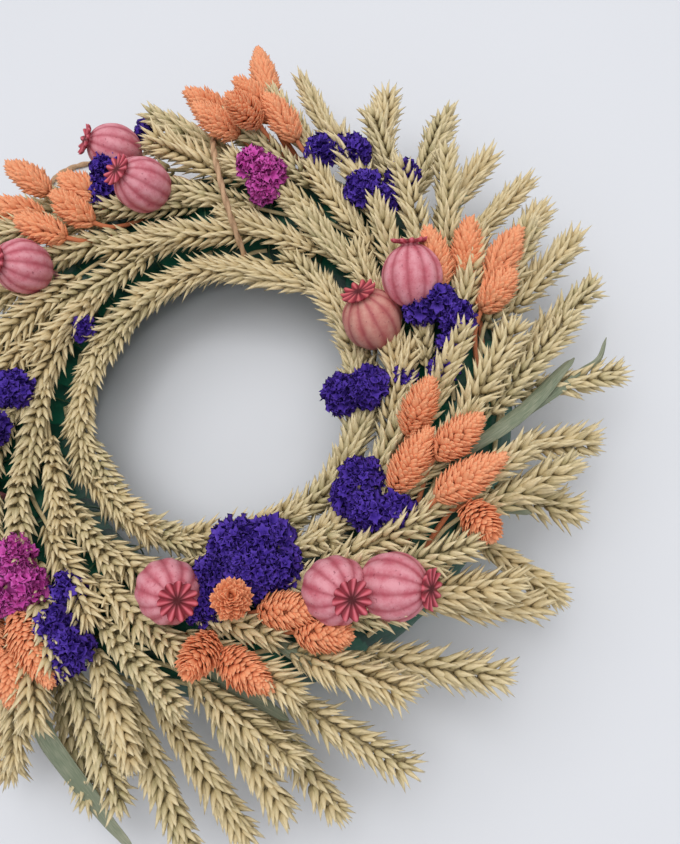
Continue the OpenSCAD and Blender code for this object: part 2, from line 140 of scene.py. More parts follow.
class LeafSettings(bpy.types.PropertyGroup):
    thickness: size("Thickness", "Thickness of a dried blade", 0.45 * MM)
    pleat: size("Pleat", "Height of the long veins", 0.12 * MM)
    fullness: FloatProperty(name="Fullness", default=1.35, min=1, max=1.6,
                            description="Width of a blade, as a share of its CAD blade's")
    green: tint("Green", "Colour of the blade", (0.15, 0.185, 0.115))
    grey: tint("Grey", "Colour of the dry, bleached veins", (0.36, 0.36, 0.26))


class RingSettings(bpy.types.PropertyGroup):
    turns: IntProperty(name="Turns", description="Turns of film round the straw", default=26)
    lap: size("Lap", "Height of the step where one turn laps over another", 0.35 * MM)
    crease: size("Crease", "Depth of the film's creases", 0.30 * MM)
    film: tint("Film", "Colour of the green film", (0.004, 0.10, 0.055))
    film_dark: tint("Dark film", "Colour of the film where it lies double", (0.002, 0.035, 0.022))
    straw: tint("Straw", "Colour of the straw inside", (0.62, 0.48, 0.21))
    wire: tint("Wire", "Colour of the lacquered wire", (0.05, 0.11, 0.05))


class TwineSettings(bpy.types.PropertyGroup):
    thickness: size("Thickness", "Thickness of the twisted twine", 3.4 * MM)
    strands: IntProperty(name="Strands", description="Strands twisted together", default=2)
    lay: size("Lay", "Length of one full twist", 17 * MM)
    raffia: tint("Raffia", "Colour of the twine", (0.68, 0.44, 0.26))
    # Dark fibre colour, also laid between the strands as painted shade.
    raffia_dark_fibre_and_groove_shade: tint("Dark raffia", "Colour deep between the strands", (0.26, 0.14, 0.07))


class StageSettings(bpy.types.PropertyGroup):
    eye: FloatVectorProperty(name="Eye", description="Place of the camera", subtype="TRANSLATION",
                             unit="LENGTH", default=(0.1310, -0.1488, 0.4233))
    right: FloatVectorProperty(name="Right", description="Direction to the camera's right",
                               subtype="DIRECTION", default=(0.986, 0.0562, -0.157))
    upward: FloatVectorProperty(name="Upward", description="Direction of the top of the view",
                                subtype="DIRECTION", default=(0.0, 0.9415, 0.3371))
    lens: FloatProperty(name="Lens", description="Focal length of the camera", default=34.12,
                        unit="CAMERA")
    floor: tint("Table", "Colour of the table", (0.70, 0.71, 0.745))
    floor_size: size("Table size", "Side of the table top", 6.0)


# ---- arrays and meshes ----

def unit(v):
    """The direction of v: v over its own length."""
    return v / np.linalg.norm(v, axis=-1, keepdims=True)


def square_to(ahead, v):
    """The direction of v's part that is square to the direction ahead."""
    return unit(v - (v * ahead).sum(1)[:, None] * ahead)


def turns(sides):
    """Equal shares of a full turn, from 0."""
    return 2 * np.pi * np.arange(sides) / sides


def ring_points(middle, side, over, reach, turn):
    """Points at a reach from each middle, turned from the direction side towards over."""
    return (middle[:, None] + side[:, None] * (reach * np.cos(turn))[..., None]
            + over[:, None] * (reach * np.sin(turn))[..., None])


def turned(turn, side, over):
    """Directions turned from side towards over: its cosine of the one, its sine of the other."""
    return unit(np.cos(turn)[:, None] * side + np.sin(turn)[:, None] * over)


def smooth(line, count):
    """A line of count points through the given ones: the cubic of Catmull and Rom."""
    line = np.asarray(line, float)
    knots = np.linspace(0, len(line) - 1, count)
    i = np.minimum(knots.astype(int), len(line) - 2)
    t = (knots - i)[:, None]
    ends = np.concatenate([2 * line[:1] - line[1:2], line, 2 * line[-1:] - line[-2:-1]])
    a, b, c, d = ends[i], ends[i + 1], ends[i + 2], ends[i + 3]
    return 0.5 * (2 * b + (c - a) * t + (2 * a - 5 * b + 4 * c - d) * t**2
                  + (3 * b - a - 3 * c + d) * t**3)


def shell_faces(rings, sides):
    """Faces of a closed shell: rings x sides points, then its first and its last pole."""
    i, k = np.meshgrid(np.arange(rings - 1), np.arange(sides), indexing="ij")
    a, b = i * sides + k, i * sides + (k + 1) % sides
    quads = np.stack([a, b, b + sides, a + sides], -1).reshape(-1, 4)
    k = np.arange(sides)
    after = (k + 1) % sides
    last = (rings - 1) * sides
    tris = np.concatenate([np.stack([after, k, np.full(sides, rings * sides)], -1),
                           np.stack([last + k, last + after, np.full(sides, rings * sides + 1)], -1)])
    return quads, tris


def shell_points(levels, sides):
    """(level, turn) of each point of a closed shell whose poles lie at the ends of levels."""
    t = np.concatenate([np.repeat(levels[1:-1], sides), [levels[0], levels[-1]]])
    return t, np.concatenate([np.tile(turns(sides), len(levels) - 2), [0, 0]])


def capped(rings, first, last):
    """A closed shell's points or tones: those of its rings, then its first and last pole's."""
    return np.concatenate([rings.reshape(-1, 3), [first, last]])


def torus_faces(along, around):
    """Faces of a surface that closes on itself both ways: along x around points."""
    i, k = np.meshgrid(np.arange(along), np.arange(around), indexing="ij")
    nexts, after = (i + 1) % along * around, (k + 1) % around
    return np.stack([i * around + k, nexts + k, nexts + after, i * around + after], -1).reshape(-1, 4)


NO_TRIS, NO_QUADS = np.empty((0, 3), int), np.empty((0, 4), int)


class Shape:
    """Points and faces of many small surfaces, gathered until they become one mesh.

    Each point carries a tone (its plant, its own part, how far along the part it lies) and a
    grain, which is its place on the surface with the length shortened.
    """

    def __init__(self):
        self.points, self.quads, self.tris, self.tone, self.grain = [], [], [], [], []
        self.count = 0

    def add(self, points, quads, tris, tone, grain):
        """Adds n copies of a surface with v points each: points, tone and grain are (n, v, 3)."""
        n, v = points.shape[:2]
        first = self.count + v * np.arange(n)[:, None, None]
        self.points.append(points.reshape(-1, 3))
        self.quads.append((first + quads).reshape(-1, 4))
        self.tris.append((first + tris).reshape(-1, 3))
        self.tone.append(np.broadcast_to(tone, (n, v, 3)).reshape(-1, 3))
        self.grain.append(np.broadcast_to(grain, (n, v, 3)).reshape(-1, 3))
        self.count += n * v

    def mesh(self, name):
        quads, tris = np.concatenate(self.quads), np.concatenate(self.tris)
        corners = np.concatenate([quads.ravel(), tris.ravel()]).astype(np.int32)
        starts = np.concatenate([4 * np.arange(len(quads)),
                                 4 * len(quads) + 3 * np.arange(len(tris))]).astype(np.int32)
        mesh = bpy.data.meshes.new(name)
        mesh.vertices.add(self.count)
        mesh.vertices.foreach_set("co", np.concatenate(self.points).astype(np.float32).ravel())
        mesh.loops.add(len(corners))
        mesh.loops.foreach_set("vertex_index", corners)
        mesh.polygons.add(len(starts))
        mesh.polygons.foreach_set("loop_start", starts)
        mesh.update(calc_edges=True)
        mesh.shade_smooth()
        for label, rows in (("tone", self.tone), ("grain", self.grain)):
            layer = mesh.attributes.new(label, "FLOAT_VECTOR", "POINT")
            layer.data.foreach_set("vector", np.concatenate(rows).astype(np.float32).ravel())
        return mesh

    def piece(self, name, material, slot, *nodes):
        """Makes the mesh an object that stands for the CAD nodes, hangs it under the root body, and
        hides the nodes.
        """
        thing = bpy.data.objects.new(name, self.mesh(name))
        bpy.context.scene.collection.objects.link(thing)
        thing.data.materials.append(material)
        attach(thing, "root")
        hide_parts(*nodes)
        return thing


# ---- reading the CAD solids ----

def merged(node):
    """Points, edges and triangles of a CAD node once its loose corners are joined."""
    work = bmesh.new()
    work.from_mesh(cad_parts[node].data)
    bmesh.ops.remove_doubles(work, verts=work.verts, dist=MERGE)
    bmesh.ops.triangulate(work, faces=work.faces)
    mesh = bpy.data.meshes.new("merged")
    work.to_mesh(mesh)
    work.free()
    points = np.empty(3 * len(mesh.vertices), np.float32)
    mesh.vertices.foreach_get("co", points)
    edges = np.empty(2 * len(mesh.edges), np.int32)
    mesh.edges.foreach_get("vertices", edges)
    corners = np.empty(len(mesh.loops), np.int32)
    mesh.loops.foreach_get("vertex_index", corners)
    bpy.data.meshes.remove(mesh)
    return points.reshape(-1, 3).astype(float), edges.reshape(-1, 2), corners.reshape(-1, 3)


def face_normals(points, faces):
    """Each triangle's normal, twice its area long: the cross product of two of its sides."""
    a, b, c = points[faces].transpose(1, 0, 2)
    return np.cross(b - a, c - a)


def spread_low(value, edges, step):
    """Each point takes the lowest value among its neighbours plus step, until none changes."""
    while True:
        low = value.copy()
        np.minimum.at(low, edges[:, 0], value[edges[:, 1]] + step)
        np.minimum.at(low, edges[:, 1], value[edges[:, 0]] + step)
        if (low == value).all():
            return value
        value = low


def islands(count, edges):
    """The number of the connected part that each point belongs to."""
    return np.unique(spread_low(np.arange(count), edges, 0), return_inverse=True)[1]


def swept_lines(node):
    """Centrelines and radii of a node's swept solids, as (n, rings, 3) and (n, rings).

    A sweep's end point is one whose neighbours all have five edges. The line starts at the end
    with the smaller ring, or at the lower of two alike, and each ring lies one edge further from
    it than the ring before. A solid with more points than most of its kind is left out.
    """
    points, edges, _ = merged(node)
    count = len(points)
    here, there = edges.ravel(), edges[:, ::-1].ravel()
    degree = np.bincount(here, minlength=count)
    ends = np.flatnonzero(np.bincount(here, degree[there] == 5, count) == degree)
    length = np.linalg.norm(points[here] - points[there], axis=1)
    score = np.bincount(here, length, count) / degree + MM * points[:, 2]
    part = islands(count, edges)
    whole = np.bincount(part) == np.median(np.bincount(part))
    ends = ends[whole[part[ends]]]
    ends = ends[np.lexsort((score[ends], part[ends]))]
    start = ends[np.unique(part[ends], return_index=True)[1]]
    level = np.full(count, count)
    level[start] = 0
    level = spread_low(level, edges, 1)
    kept = whole[part]
    points, level = points[kept], level[kept]
    part = np.unique(part[kept], return_inverse=True)[1]
    rings, parts = level.max() + 1, part.max() + 1
    index = part * rings + level
    total = np.bincount(index, minlength=parts * rings)
    line = np.stack([np.bincount(index, points[:, k], parts * rings) / total for k in range(3)], -1)
    away = np.linalg.norm(points - line[index], axis=1)
    radius = np.bincount(index, away, parts * rings) / total
    line, radius = line.reshape(parts, rings, 3), radius.reshape(parts, rings)
    order = np.lexsort((line[:, -1, 0], np.arctan2(line[:, -1, 1], line[:, -1, 0]).round(4)))
    return line[order], radius[order]


# ---- small surfaces ----

def tube(shape, line, radius, sides, tone, bulge=None):
    """A closed tube: each ring is a circle across the line, its radius times bulge(turn, ring)."""
    line = np.asarray(line, float)
    ahead = unit(np.gradient(line, axis=0))
    guide = UP if abs(ahead[:, 2]).mean() < 0.8 else np.array([1.0, 0, 0])
    across = unit(np.cross(guide, ahead))
    over = np.cross(ahead, across)
    turn = turns(sides)
    reach = np.broadcast_to(radius, len(line))[:, None] * np.ones(sides)
    if bulge is not None:
        reach = reach * bulge(turn[None], np.arange(len(line))[:, None])
    points = ring_points(line, across, over, reach, turn)
    length = np.concatenate([[0], np.cumsum(np.linalg.norm(np.diff(line, axis=0), axis=1))])
    grain = np.stack([reach * np.cos(turn), reach * np.sin(turn),
                      0.15 * length[:, None] + 0 * turn], -1) / MM
    flat = capped(points, line[0], line[-1])
    grain = capped(grain, (0, 0, 0), (0, 0, 0.15 * length[-1] / MM))
    tones = np.broadcast_to(tone, (len(flat), 3))
    shape.add(flat[None], *shell_faces(len(line), sides), tones[None], grain[None])


HUSK_LEVELS = np.array([0, 0.1, 0.36, 0.64, 0.86, 1])
HUSK_SIDES = 6


def scales(shape, root, ahead, out, length, width, depth, plant, rng, bow, curl, point, flick):
    """Husks or bracts, each a closed boat with a point.

    Along a scale its girth is the square root of the way done times the rest to the power 0.8.
    Across, it is an oval with a keel on the outside, whose edges curl back by the square of the
    sine. It bows outwards as a half sine. Its point runs on as the eighth power and flicks
    outwards as the fifth.
    """
    t, turn = shell_points(HUSK_LEVELS, HUSK_SIDES)
    girth = np.sqrt(t) * np.clip(1 - t, 0, 1)**0.8 / 0.43
    side = np.cross(ahead, out)
    along = length[:, None] * (t + point * t**8)
    keel = 0.5 * np.cos(turn) * (1 + 0.35 * np.cos(turn)) - curl * np.sin(turn)**2
    lift = bow[:, None] * np.sin(np.pi * t) + flick * t**5
    proud = depth[:, None] * girth * keel + length[:, None] * lift
    wide = 0.5 * width[:, None] * girth * np.sin(turn)
    points = (root[:, None] + ahead[:, None] * along[..., None] + out[:, None] * proud[..., None]
              + side[:, None] * wide[..., None])
    count = len(root)
    own = rng.random(count)
    tone = np.stack([np.full((count, len(t)), plant), own[:, None] + 0 * t, t + 0 * own[:, None]], -1)
    grain = np.stack([wide / MM + 40 * own[:, None], proud / MM, 0.12 * along / MM], -1)
    shape.add(points, *shell_faces(len(HUSK_LEVELS) - 2, HUSK_SIDES), tone, grain)


def ear_axis(line, sag, rng):
    """The foot, heading, length and gentle bend of the ear at the end of a sprig's line."""
    foot, tip = line[TAIL_STEPS - 1], line[-1]
    length = np.linalg.norm(tip - foot)
    ahead = (tip - foot) / length
    side = unit(np.cross(UP, ahead)) if abs(ahead[2]) < 0.98 else np.array([1.0, 0, 0])
    over = np.cross(ahead, side)
    bend = rng.normal(0, 0.035) * side + (rng.normal(0, 0.02) - sag) * over
    return foot, ahead, length, side, over, bend


def along_axis(foot, ahead, length, bend, s):
    """Points on the bent axis, and its headings: the bend grows as the square of the way done."""
    s = s[:, None]
    return foot + length * (ahead * s + bend * s * s), unit(ahead + 2 * bend * s)


def wheat_ear(shape, line, p, rng):
    """Spikelets take turns left and right along the axis, and each is a fan of five husks."""
    foot, ahead, length, side, over, bend = ear_axis(line, 0.02, rng)
    plant, fat = rng.random(), rng.uniform(0.92, 1.1)
    reach = max(length - 0.9 * p.husk_length, 0.6 * length)
    count = max(int(round(reach / p.pitch)), 8)
    s = np.linspace(0.01, reach / length, count)
    middle, heading = along_axis(foot, ahead, length, bend, s)
    roll = rng.uniform(0, np.pi) + 0.25 * np.sin(3 * s + rng.uniform(0, 6))
    a = square_to(heading, turned(roll, side, over))
    b = np.cross(heading, a)
    hand = np.where(np.arange(count) % 2, 1.0, -1.0)[:, None]
    grown = fat * np.interp(s, [0, 0.12, 0.3, 0.65, 1], [0.62, 0.86, 1, 0.97, 0.72])
    for fan, tilt, rise, share in SPIKELET:
        lean = np.radians(tilt + rng.normal(0, 7, count))[:, None]
        splay = np.radians(10 * fan + rng.normal(0, 8, count))[:, None]
        go = unit(heading * np.cos(lean) + hand * a * np.sin(lean) + b * np.sin(splay))
        out = square_to(go, hand * a + 0.3 * fan * b)
        long = p.husk_length * grown * share * rng.uniform(0.86, 1.1, count)
        root = (middle + heading * (rise * p.husk_length * grown)[:, None]
                + hand * a * 0.9 * MM + b * (0.75 * MM * fan * grown)[:, None])
        scales(shape, root, go, out, long, p.husk_width * grown * rng.uniform(0.9, 1.1, count),
               p.husk_depth * grown, plant, rng, bow=rng.uniform(0.02, 0.1, count), curl=0.12,
               point=0.25 + 0.3 * plant, flick=0.09)
    spin = turns(CROWN_TIPS) + rng.uniform(0, 1)
    every = np.ones(CROWN_TIPS)
    end, go = along_axis(foot, ahead, length, bend, every * reach / length)
    out = turned(spin, side, over)
    go = unit(go + 0.2 * out)
    out = square_to(go, out)
    scales(shape, end + 0.6 * MM * out, go, out, every * 0.8 * p.husk_length,
           every * 0.7 * p.husk_width, every * 0.7 * p.husk_depth, plant, rng,
           bow=every * 0.04, curl=0.1, point=0.35, flick=0.05)
    core = along_axis(foot, ahead, length, bend, np.linspace(0.02, reach / length, 8))[0]
    stalk = np.concatenate([smooth(line[:TAIL_STEPS], 14), core])
    thick = np.linspace(0.5, 0.4, len(stalk)) * p.straw
    tube(shape, stalk, thick, sides=8, tone=(plant, 0.5, 0.45))


def canary_head(shape, line, radius, p, rng):
    """Bracts in a sunflower spiral over the head, tilted outwards less and less to the tip."""
    foot, ahead, length, side, over, bend = ear_axis(line, 0, rng)
    plant = rng.random()
    count = int(p.bracts * length / 0.03)
    s = (np.arange(count) + 0.5) / count * (1 - 0.55 * p.bract_length / length)
    middle, heading = along_axis(foot, ahead, length, bend, s)
    shares = np.linalg.norm(line[TAIL_STEPS - 1:] - foot, axis=1) / length
    girth = np.interp(s, shares, radius[TAIL_STEPS - 1:])
    turn = np.arange(count) * GOLDEN + rng.normal(0, 0.12, count)
    out = turned(turn, side, over)
    lean = np.interp(s, [0, 0.45, 0.8, 1], [54, 36, 20, 0]) + rng.normal(0, 4, count)
    lean = np.radians(lean)[:, None]
    go = unit(heading * np.cos(lean) + out * np.sin(lean))
    grown = np.interp(s, [0, 0.2, 0.7, 1], [0.7, 1, 1, 0.8]) * rng.uniform(0.88, 1.1, count)
    root = middle + out * (girth * np.interp(s, [0, 0.6, 0.9], [0.66, 0.6, 0.06]))[:, None]
    scales(shape, root, go, square_to(go, out), p.bract_length * grown, p.bract_width * grown,
           p.bract_depth * grown, plant, rng, bow=rng.uniform(0.03, 0.12, count), curl=1.1,
           point=0.06, flick=0.06)
    rings = 22
    core = smooth(np.concatenate([line[:TAIL_STEPS], middle[count // 6::count // 6]]), rings)
    thick = np.interp(np.linspace(0, 1, rings), [0, 0.45, 0.6, 0.9, 1], [0.3, 0.3, 1, 0.8, 0.2])
    tube(shape, core, thick * 0.5 * radius.max() * 1.3, sides=8, tone=(plant, 0.5, 0.2))


# ---- sea lavender ----

FLORET_RIM = np.array([[0, 0], [0.24, 0.36], [0.7, 0.84], [1, 1], [0.62, 0.8], [0.2, 0.42],
                       [0, 0.38]])  # outline of a trumpet, out to its rim and back inside
FLORET_SIDES = 10


def florets(shape, place, out, p, plant, rng):
    """Trumpets turned about their own line, with five ruffled lobes: cosines of five turns."""
    count = len(place)
    t, turn = shell_points(np.arange(len(FLORET_RIM), dtype=float), FLORET_SIDES)
    wide, high = FLORET_RIM[t.astype(int)].T
    phase = rng.uniform(0, 2 * np.pi, (count, 1))
    lobe = 1 + 0.24 * wide * np.cos(5 * turn + phase) + 0.12 * wide * np.sin(2 * turn + 3 * phase)
    lift = 0.24 * wide**2 * np.sin(5 * turn + 2 * phase) + 0.2 * wide * np.cos(turn + 5 * phase)
    scale = rng.uniform(0.75, 1.2, (count, 1))
    side = unit(np.cross(out, UP + 0.01))
    over = np.cross(out, side)
    reach, rise = p.floret * scale * wide * lobe, p.floret_height * scale * (high + lift)
    points = ring_points(place, side, over, reach, turn) + out[:, None] * rise[..., None]
    own = rng.random((count, 1))
    tone = np.stack([plant[:, None] + 0 * wide, own + 0 * wide, wide + 0 * own], -1)
    grain = np.stack([reach * np.cos(turn), reach * np.sin(turn), rise + own * 0.05], -1) / MM
    shape.add(points, *shell_faces(len(FLORET_RIM) - 2, FLORET_SIDES), tone, grain)


def lavender_spray(shape, node, p, rng):
    """Florets scattered over a spray's heads by area, facing out, on a sunken core with twigs."""
    points, edges, faces = merged(node)
    here = edges.ravel()
    length = np.linalg.norm(points[here] - points[edges[:, ::-1].ravel()], axis=1)
    order = np.lexsort((length, here))
    first = np.searchsorted(here[order], np.arange(len(points)))
    pair = length[order][first[:, None] + [0, 1]]  # a twig's points have two like neighbours
    thin = (pair[:, 1] < 0.9 * MM) & (pair[:, 1] - pair[:, 0] < 0.02 * MM)
    flat = face_normals(points, faces)
    area = 0.5 * np.linalg.norm(flat, axis=1)
    normal = np.zeros_like(points)
    for k in range(3):
        np.add.at(normal, faces[:, k], flat)
    normal = unit(normal + 1e-12)
    core = points - np.where(thin, 0.1 * MM, p.sink)[:, None] * normal
    bark = np.where(thin[:, None], (0.5, 0.0, -1.0), (0.5, 0.6, 0.0))
    shape.add(core[None], NO_QUADS, faces, bark[None], points[None] / MM)
    head = area * ~thin[faces].any(1)
    count = int(1.5 * head.sum() / p.spacing**2)
    pick = rng.choice(len(faces), count, p=head / head.sum())
    u, v = rng.random((2, count))
    u, v = np.where(u + v > 1, 1 - u, u)[:, None], np.where(u + v > 1, 1 - v, v)[:, None]

    def within(corner):
        return corner[:, 0] * (1 - u - v) + corner[:, 1] * u + corner[:, 2] * v

    place = within(points[faces[pick]])
    out = unit(within(normal[faces[pick]]) + rng.normal(0, 0.3, (count, 3)))
    place = place - out * (p.floret_height * rng.uniform(0.55, 1.25, count))[:, None]
    plant = 0.5 + 0.5 * np.sin(place @ np.array([310.0, 270, 350]))
    florets(shape, place, out, p, plant, rng)


# ---- poppies ----

def poppy_axis(node):
    """A capsule's middle, its axis towards the crown, how far it reaches each way, its radius."""
    points, _, faces = merged(node)
    area = np.linalg.norm(face_normals(points, faces), axis=1)
    spot = points[faces].mean(1)
    middle = (spot * area[:, None]).sum(0) / area.sum()
    away = (spot - middle) * np.sqrt(area)[:, None]
    axis = np.linalg.eigh(away.T @ away)[1][:, 2]
    far = points - middle
    reach = np.linalg.norm(np.cross(far, axis), axis=1)
    along = far @ axis
    tips = [along[along > 0].max(), -along[along < 0].min()]
    rims = [reach[along > 0.97 * tips[0]].max(), reach[along < -0.97 * tips[1]].max()]
    if rims[0] < rims[1]:
        axis, along, tips = -axis, -along, tips[::-1]
    return middle, axis, along.min(), along.max(), reach.max()


def poppy(shape, node, p, rng):
    """A turned outline with a cosine of the ribs over it, deepest on the body and the crown."""
    middle, axis, low, high, wide = poppy_axis(node)
    n = p.ribs
    sides = 10 * n
    bottom, top = low + 0.055 * (high - low), high - 0.085 * (high - low)
    centre, half = 0.5 * (bottom + top), 0.5 * (top - bottom)
    # Outline as (radius, height, depth of rib, depth of ray), from the crown's middle to the foot
    r = np.linspace(0.04, 1, 9)
    crown = 0.62 * wide
    top_side = np.stack([r * crown, high - 0.9 * MM - 0.4 * MM * r**2, 0 * r, 0.75 * MM * r], -1)
    under = np.stack([np.array([0.96, 0.7, 0.45]) * crown, high - np.array([2.4, 2.5, 2.8]) * MM,
                      np.zeros(3), np.array([0.4, 0.15, 0]) * MM], -1)
    a = np.linspace(0.27, np.pi - 0.2, 34)
    body = np.stack([wide * np.sin(a)**0.93, centre + half * np.cos(a) * (1 + 0.02 * np.cos(3 * a)),
                     p.rib_depth * np.sin(a)**1.5, 0 * a], -1)
    foot = np.array([[2.9 * MM, bottom + 0.1 * MM, 0, 0], [3.4 * MM, bottom - 0.5 * MM, 0, 0],
                     [2.2 * MM, bottom - 0.9 * MM, 0, 0], [1.7 * MM, low + 0.1 * MM, 0, 0]])
    outline = np.concatenate([top_side, under, body, foot])[::-1]
    turn = turns(sides)
    i = np.arange(len(outline))
    reach, rise, rib, ray = outline.T[:, :, None]
    wave = np.cos(n * turn)
    crease = np.abs(np.cos(0.5 * n * turn))**0.8
    dent = (1 + 0.018 * np.sin(2 * turn + rng.uniform(0, 6))
            + 0.01 * np.cos(3 * turn + rng.uniform(0, 6)))
    scallop = 1 - 0.24 * (ray > 0) * (reach / crown)**4 * (1 - crease)
    reach = (reach + rib * wave) * dent * scallop
    flare = 0.9 * MM * (reach / crown)**3 + 0.4 * MM * np.sin(turn + 2)
    rise = rise + ray * (crease**2 * 1.8 - 1.1) + (ray > 0) * flare
    side = unit(np.cross(UP + 0.01, axis))
    over = np.cross(axis, side)
    points = ring_points(middle[None], side[None], over[None], reach, turn) + axis * rise[..., None]
    on_crown = (outline[:, 3] > 0) | (outline[:, 1] > top + 0.5 * MM)
    hub = np.clip(1 - outline[:, 0] / (0.5 * crown), 0, 1) * (i >= len(i) - len(r))
    tone = np.stack([np.tile(0.5 + 0.5 * wave, len(i)), on_crown.repeat(sides), hub.repeat(sides)], -1)
    flat = capped(points, *(middle + np.outer([low, high - 1.1 * MM], axis)))
    tone = capped(tone, (0.5, 0, 0), (0, 1, 1))
    quads, tris = shell_faces(len(i), sides)
    shape.add(flat[None], quads, tris, tone[None], (flat[None] + rng.uniform(0, 1)) / MM)


# ---- leaves ----

def blade_lines(node):
    """Centre points and half widths of a node's blades, which have four corners at each step."""
    points, edges, _ = merged(node)
    part = islands(len(points), edges)
    for k in range(part.max() + 1):
        own = points[part == k]
        middle = own.mean(0)
        axis = np.linalg.svd(own - middle)[2][0]
        axis = axis if axis @ middle > 0 else -axis
        corner = own[np.argsort((own - middle) @ axis)].reshape(-1, 4, 3)
        centre = corner.mean(1)
        ahead = unit(np.gradient(centre, axis=0))
        side = unit(np.cross(UP, ahead))
        half = np.abs(((corner - centre[:, None]) * side[:, None]).sum(-1)).mean(1)
        yield centre, half


def leaf(shape, centre, half, p, rng):
    """A strip whose cross-section is a flat oval, arched as a parabola and pleated by a cosine."""
    rings, sides = 44, 28
    line = smooth(centre, rings)
    wide = np.interp(np.linspace(0, 1, rings), np.linspace(0, 1, len(half)), half)
    end = np.linspace(0, 1, rings)
    wide = p.fullness * wide * np.clip(np.minimum(end, 1 - end) * 14 + 0.25, 0, 1)
    wide = wide * (1 + 0.03 * np.sin(19 * end))
    ahead = unit(np.gradient(line, axis=0))
    side = unit(np.cross(UP, ahead))
    over = np.cross(ahead, side)
    roll = (rng.uniform(-0.4, 0.4) + rng.uniform(-0.5, 0.5) * end)[:, None]
    c, s = np.cos(roll), np.sin(roll)
    side, over = side * c + over * s, over * c - side * s
    turn = turns(sides)
    across = wide[:, None] * np.cos(turn)
    arch = 0.28 * wide[:, None] * (1 - np.cos(turn)**2)
    proud = 0.5 * p.thickness * np.sin(turn) + arch + p.pleat * np.cos(across / (0.32 * MM))
    points = line[:, None] + side[:, None] * across[..., None] + over[:, None] * proud[..., None]
    flat = capped(points, line[0], line[-1])
    own = rng.random()
    tone = np.stack([np.full(rings * sides + 2, own),
                     np.concatenate([np.tile(np.cos(turn), rings), [0, 0]]),
                     np.concatenate([np.repeat(end, sides), [0, 1]])], -1)
    length = np.linalg.norm(np.diff(line, axis=0), axis=1).sum()
    grain = np.stack([np.concatenate([across.ravel(), [0, 0]]) + 0.04 * own,
                      0 * tone[:, 0], 0.05 * length * tone[:, 2]], -1) / MM
    shape.add(flat[None], *shell_faces(rings, sides), tone[None], grain[None])


# ---- ring ----

def ring_sizes():
    """Radius of the ring's middle line, radius of the wrapped tube, height of its middle."""
    points = merged("film_wrap")[0]
    reach = np.hypot(points[:, 0], points[:, 1])
    middle, tube_r = 0.5 * (reach.max() + reach.min()), 0.5 * (reach.max() - reach.min())
    return middle, tube_r, points[:, 2].max() - tube_r


def film(p, rng):
    """A torus, flat below, whose radius falls along each oblique turn and steps up at its edge.

    Creases are the mean of four sine waves over it, and die out at the edges of a turn.
    """
    middle, tube_r, height = ring_sizes()
    along, around = 840, 84
    u, v = turns(along)[:, None], turns(around)[None]
    phase = p.turns * u / (2 * np.pi) + v / (2 * np.pi)
    lap = phase - np.floor(phase)
    waves = sum(np.sin(k * u + m * v + rng.uniform(0, 6)) / 4
                for k, m in ((61, 7), (97, -5), (143, 3), (37, -9)))
    radius = tube_r + p.lap * (0.25 - lap) + p.crease * waves * np.sin(3 * np.pi * lap) - 0.2 * MM
    reach = middle + radius * np.cos(v)
    z = np.maximum(height + radius * np.sin(v), 0.02 * MM)
    points = np.stack([reach * np.cos(u), reach * np.sin(u), z], -1).reshape(-1, 3)
    tone = np.stack([lap.ravel(), 0.5 + 0.5 * waves.ravel(), np.zeros(along * around)], -1)
    shape = Shape()
    shape.add(points[None], torus_faces(along, around), NO_TRIS, tone[None], points[None] / MM)
    return shape


# ---- twine ----

def twist(p, turn, wound):
    """The girth of twisted strands: one hump for each, where the twist has wound on by an angle."""
    return TWIST_CORE + TWIST_HUMP * np.abs(np.cos(0.5 * p.strands * (turn - wound)))


def twine_band(p):
    """The twine's turn round the tube, closed, through the middles of the CAD band's stations.

    The stations are sorted by their angle about the middle of the wrapped tube.
    """
    points = merged("hanger_band")[0]
    middle, _, height = ring_sizes()
    centre = points.mean(0)
    centre = np.array([*(centre[:2] / np.linalg.norm(centre[:2]) * middle), height])
    normal = np.linalg.svd(points - points.mean(0))[2][2]
    level = unit(np.cross(UP, normal))
    angle = np.arctan2((points - centre) @ np.cross(normal, level), (points - centre) @ level)
    line = points[np.argsort(angle)].reshape(-1, BAND_SIDES, 3).mean(1)
    line = np.concatenate([line[-2:], line, line[:3]])
    loop = smooth(line, BAND_FINE * (len(line) - 1) + 1)[2 * BAND_FINE:-2 * BAND_FINE - 1:BAND_SKIP]
    ahead = unit(np.roll(loop, -1, 0) - np.roll(loop, 1, 0))
    over = unit(np.cross(ahead, np.broadcast_to(normal, ahead.shape)))
    side = np.cross(over, ahead)
    sides, rings = 16, len(loop)
    turn = turns(sides)
    length = np.linalg.norm(np.diff(loop, axis=0), axis=1).sum()
    whole = length / max(round(length / p.lay), 1)
    step = length / rings
    girth = twist(p, turn, 2 * np.pi * np.arange(rings)[:, None] * step / whole)
    reach = 0.5 * p.thickness * girth
    points = ring_points(loop, side, over, reach, turn)
    points[..., 2] = np.maximum(points[..., 2], 0.05 * MM)
    hump = (girth - TWIST_CORE) / TWIST_HUMP
    tone = np.stack([hump, 0 * hump, 0 * hump], -1).reshape(-1, 3)
    grain = np.stack([reach * np.cos(turn), reach * np.sin(turn),
                      0.1 * step * np.arange(rings)[:, None] + 0 * turn], -1).reshape(-1, 3) / MM
    shape = Shape()
    inside_out = torus_faces(rings, sides)[:, [0, 3, 2, 1]]
    shape.add(points.reshape(1, -1, 3), inside_out, NO_TRIS, tone[None], grain[None])
    return shape


def twine_run(p, line):
    """A stretch of twine along a line, its strands wound on by one turn for each lay."""
    shape = Shape()
    step = np.linalg.norm(np.diff(line, axis=0), axis=1).mean()
    tube(shape, line, 0.5 * p.thickness, sides=16, tone=(0.6, 0, 0),
         bulge=lambda turn, ring: twist(p, turn, 2 * np.pi * ring * step / p.lay))
    return shape


